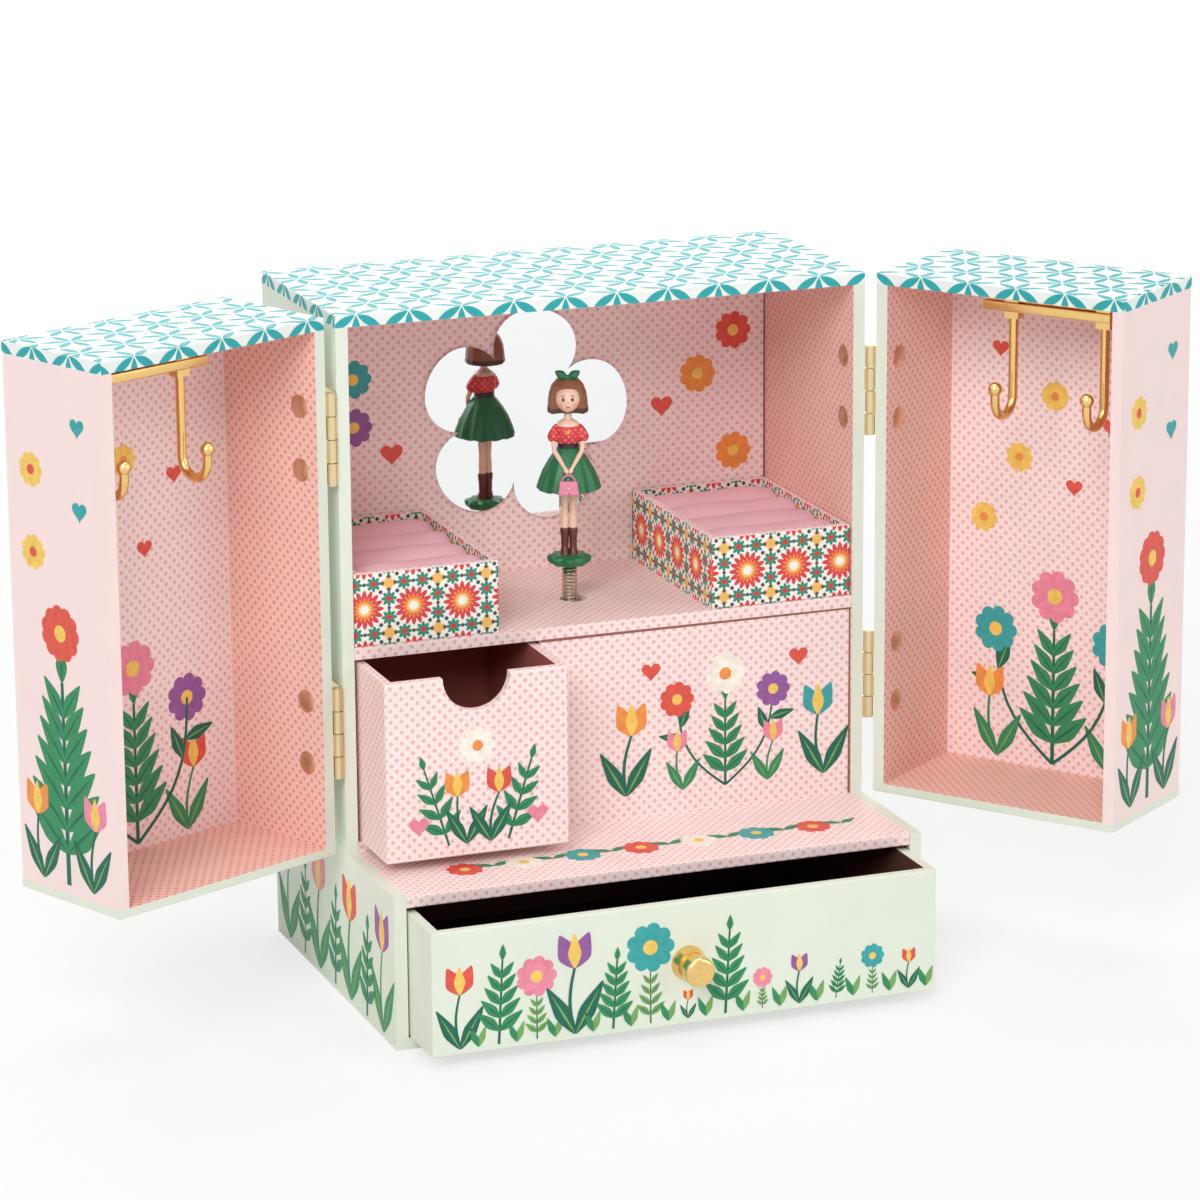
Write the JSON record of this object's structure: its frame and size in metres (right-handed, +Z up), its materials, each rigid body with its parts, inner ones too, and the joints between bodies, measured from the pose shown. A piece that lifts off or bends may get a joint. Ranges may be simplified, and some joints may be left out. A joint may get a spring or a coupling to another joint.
{
  "type": "musical jewellery box",
  "caption": "Free-standing toy jewellery cabinet with box-shaped hinged doors, drawers, ring trays, necklace hooks, a flower mirror and a doll that turns on a key-wound music movement.",
  "frame": {"origin": "middle of the underside of the base, on the surface that it stands on", "axes": "+X to the viewer's right, +Y from the front to the back, +Z up; doors and drawers open towards -Y"},
  "size_m": [0.3797, 0.1779, 0.2265],
  "materials": {
    "pink_board": "printed paper over board, matt",
    "mint_board": "printed paper over board, matt",
    "wine_board": "plain paper over board, matt",
    "plain_board": "bare board",
    "tray_board": "printed paper over board, matt",
    "foam": "velvety foam",
    "mirror": "silvered plastic sheet",
    "hinge_brass": "plated, satin",
    "rivet_copper": "plated, bright",
    "gilt_metal": "gold plated, satin",
    "steel": "bright",
    "cast_metal": "as cast",
    "softwood": "sawn",
    "brass": "turned",
    "doll_plastic": "painted plastic"
  },
  "bodies": {
    "cabinet": {"left_side_panel": "mint_board", "right_side_panel": "mint_board", "roof_panel": "mint_board", "bottom_panel": "mint_board", "ledge_panel": "pink_board", "back_panel": "mint_board", "shelf_panel": "pink_board", "movement_fascia": "pink_board", "drawer_sill": "plain_board", "compartment_divider": "plain_board", "left_cabinet_leaves": "hinge_brass", "left_hinge_pins": "hinge_brass", "right_cabinet_leaves": "hinge_brass", "right_hinge_pins": "hinge_brass", "cabinet_rivets": "rivet_copper", "left_ring_tray": "tray_board", "left_ring_pad": "foam", "right_ring_tray": "tray_board", "right_ring_pad": "foam", "flower_mirror": "mirror", "bedplate": "cast_metal", "movement_block": "softwood", "bedplate_screws": "steel", "comb_screws": "steel", "comb": "steel"},
    "left_door": {"left_door_roof": "mint_board", "left_door_floor": "mint_board", "left_door_front": "pink_board", "left_door_hinge_wall": "pink_board", "left_door_free_wall": "pink_board", "left_hook_rail": "gilt_metal", "left_door_leaves": "hinge_brass", "left_door_rivets": "rivet_copper"},
    "right_door": {"right_door_roof": "mint_board", "right_door_floor": "mint_board", "right_door_front": "pink_board", "right_door_hinge_wall": "pink_board", "right_door_free_wall": "pink_board", "right_hook_rail": "gilt_metal", "right_door_leaves": "hinge_brass", "right_door_rivets": "rivet_copper"},
    "base_drawer": {"base_drawer_front": "mint_board", "base_drawer_left_side": "mint_board", "base_drawer_right_side": "mint_board", "base_drawer_back": "mint_board", "base_drawer_floor": "mint_board", "drawer_knob": "gilt_metal", "knob_screw": "steel"},
    "side_drawer": {"side_drawer_front": "pink_board", "side_drawer_left_side": "wine_board", "side_drawer_right_side": "wine_board", "side_drawer_back": "wine_board", "side_drawer_floor": "wine_board"},
    "dancer": {"dancer_spindle": "steel", "music_cylinder": "brass", "dancer_spring": "steel", "dancer_figure": "doll_plastic"},
    "spring_barrel": {"spring_barrel": "brass"},
    "governor": {"governor_fly": "brass"},
    "winding_key": {"winding_key": "steel"}
  },
  "joints": [
    {"name": "left_door_hinge", "type": "hinge", "parent": "cabinet", "child": "left_door", "pos_m": [-0.092, -0.01525, 0.1393], "axis": [0, 0, -1], "range_deg": [-155.6, 19.4]},
    {"name": "right_door_hinge", "type": "hinge", "parent": "cabinet", "child": "right_door", "pos_m": [0.092, -0.01525, 0.1393], "axis": [0, 0, 1], "range_deg": [-126.2, 48.8]},
    {"name": "base_drawer_slide", "type": "slide", "parent": "cabinet", "child": "base_drawer", "axis": [0, -1, 0], "range_m": [-0.022, 0.06]},
    {"name": "side_drawer_slide", "type": "slide", "parent": "cabinet", "child": "side_drawer", "axis": [0, -1, 0], "range_m": [-0.0265, 0.0135]},
    {"name": "dancer_spin", "type": "hinge", "parent": "cabinet", "child": "dancer", "pos_m": [-0.0013, 0.0167, 0.1], "axis": [0, 0, 1], "continuous": true},
    {"name": "barrel_spin", "type": "hinge", "parent": "cabinet", "child": "spring_barrel", "pos_m": [-0.0013, 0.028, 0.0674], "axis": [0, 1, 0], "continuous": true},
    {"name": "governor_spin", "type": "hinge", "parent": "cabinet", "child": "governor", "pos_m": [-0.00855, 0.02926, 0.093], "axis": [0, 0, 1], "continuous": true},
    {"name": "key_turn", "type": "hinge", "parent": "cabinet", "child": "winding_key", "pos_m": [-0.0013, 0.06, 0.0674], "axis": [0, 1, 0], "continuous": true}
  ],
  "couplings": [
    {"joint": "barrel_spin", "follows": "dancer_spin", "ratio": 0.30769},
    {"joint": "governor_spin", "follows": "dancer_spin", "ratio": -3.5}
  ]
}
